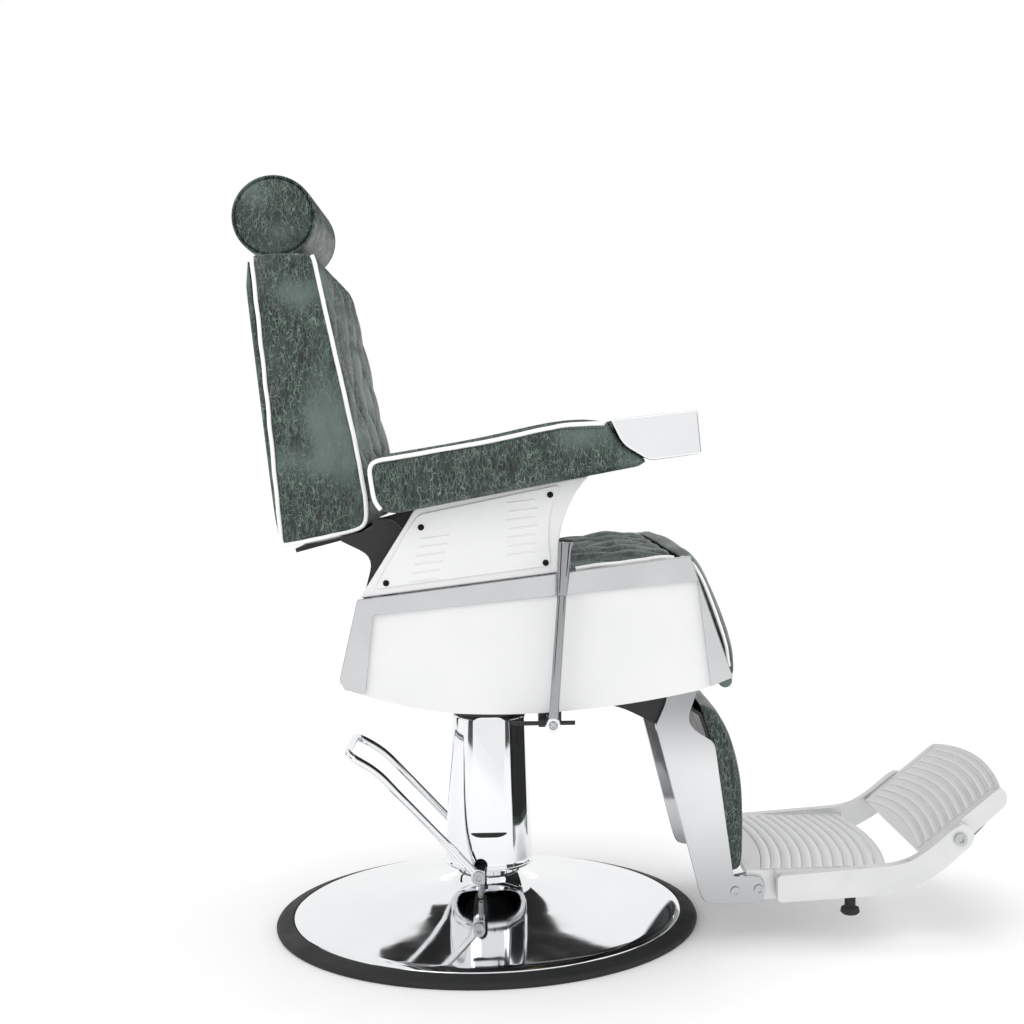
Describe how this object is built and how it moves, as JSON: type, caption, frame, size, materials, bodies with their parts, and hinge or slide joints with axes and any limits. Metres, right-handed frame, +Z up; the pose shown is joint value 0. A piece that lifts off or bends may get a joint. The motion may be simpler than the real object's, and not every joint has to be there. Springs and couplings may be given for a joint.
{
  "type": "hydraulic barber chair",
  "caption": "Barber chair on a pumped chrome column and round base, with swivel seat, reclining wedge back, roll headrest, padded arms and a hanging cast footrest with flip-over end plate",
  "frame": {"origin": "on the floor on the column's axis, at the middle of the base plate's underside", "axes": "+Z up, +X the way the sitter faces, +Y the sitter's left"},
  "size_m": [1.1344, 0.69, 1.11],
  "materials": {
    "ballast_iron": "dark painted cast iron",
    "black_rubber": "matte black moulded rubber",
    "chrome": "polished chrome plate",
    "bright_steel": "bright turned steel",
    "black_steel": "satin black powder coat on steel",
    "plywood": "raw birch plywood",
    "white_lacquer": "gloss white moulding",
    "cast_aluminium": "cast aluminium, smooth on the arms and ribbed on the footrest",
    "green_leather": "dark green distressed leather over foam with white piping"
  },
  "bodies": {
    "root": {"base_plate": "ballast_iron", "base_ring": "black_rubber", "base_dish": "chrome", "pump_cylinder": "chrome", "pedal_bolt_left": "bright_steel", "pedal_bolt_right": "bright_steel"},
    "pedal": {"pedal_loop": "chrome"},
    "lift": {"ram": "bright_steel", "column_cover": "chrome", "swivel_disc": "black_steel"},
    "seat": {"seat_spider": "black_steel", "seat_frame": "black_steel", "seat_board": "plywood", "seat_cushion": "green_leather", "front_board": "plywood", "seat_front_pad": "green_leather", "rear_panel": "white_lacquer", "side_panel_left": "white_lacquer", "side_panel_right": "white_lacquer", "trim_band_left": "chrome", "trim_band_right": "chrome", "arm_support_left": "cast_aluminium", "arm_support_right": "cast_aluminium", "arm_cover_left": "white_lacquer", "arm_cover_right": "white_lacquer", "arm_pad_left": "green_leather", "arm_pad_right": "green_leather", "arm_cap_left": "chrome", "arm_cap_right": "chrome", "recline_pin_left": "bright_steel", "recline_pin_right": "bright_steel", "gas_cylinder": "black_steel", "lever_bracket": "black_steel", "foot_carrier": "black_steel", "leg_bracket_left": "chrome", "leg_bracket_right": "chrome", "leg_screw_left_1": "bright_steel", "leg_screw_left_2": "bright_steel", "leg_screw_right_1": "bright_steel", "leg_screw_right_2": "bright_steel", "calf_board": "black_steel", "calf_pad": "green_leather", "foot_casting": "cast_aluminium", "rubber_foot_left": "black_rubber", "rubber_foot_right": "black_rubber"},
    "gas_rod": {"gas_rod": "bright_steel"},
    "back": {"back_frame": "black_steel", "back_body": "green_leather", "back_cushion": "green_leather", "back_panel": "green_leather"},
    "headrest": {"headrest_post": "chrome", "headrest_roll": "green_leather"},
    "lever": {"lever_shaft": "chrome", "lever_grip": "chrome", "lever_cross_shaft": "black_steel", "release_rod": "black_steel"},
    "flip": {"flip_plate": "cast_aluminium", "flip_pad": "green_leather", "flip_screw_left": "bright_steel", "flip_screw_right": "bright_steel"}
  },
  "joints": [
    {"name": "lift_slide", "type": "slide", "parent": "root", "child": "lift", "axis": [0, 0, 1], "range_m": [0, 0.15]},
    {"name": "seat_swivel", "type": "hinge", "parent": "lift", "child": "seat", "pos_m": [0, 0, 0.35], "axis": [0, 0, 1], "continuous": true},
    {"name": "recline", "type": "hinge", "parent": "seat", "child": "back", "pos_m": [-0.15, 0, 0.52], "axis": [0, -1, 0], "range_deg": [0, 45]},
    {"name": "gas_rod_slide", "type": "slide", "parent": "seat", "child": "gas_rod", "axis": [1, 0, 0], "range_m": [0, 0.0456]},
    {"name": "headrest_slide", "type": "slide", "parent": "back", "child": "headrest", "axis": [-0.1201, 0, 0.9928], "range_m": [0, 0.06]},
    {"name": "lever_pull", "type": "hinge", "parent": "seat", "child": "lever", "pos_m": [0.086, -0.328, 0.353], "axis": [0, -1, 0], "range_deg": [0, 20], "stiffness_Nm_per_rad": 6, "springref_deg": -5.73},
    {"name": "pedal_press", "type": "hinge", "parent": "root", "child": "pedal", "pos_m": [-0.015, 0, 0.082], "axis": [0, -1, 0], "range_deg": [0, 25], "stiffness_Nm_per_rad": 25, "springref_deg": -5.73},
    {"name": "foot_flip", "type": "hinge", "parent": "seat", "child": "flip", "pos_m": [0.68, 0, 0.153], "axis": [0, -1, 0], "range_deg": [0, 180]}
  ],
  "couplings": [
    {"joint": "gas_rod_slide", "follows": "recline", "m_per_rad": 0.05797}
  ]
}
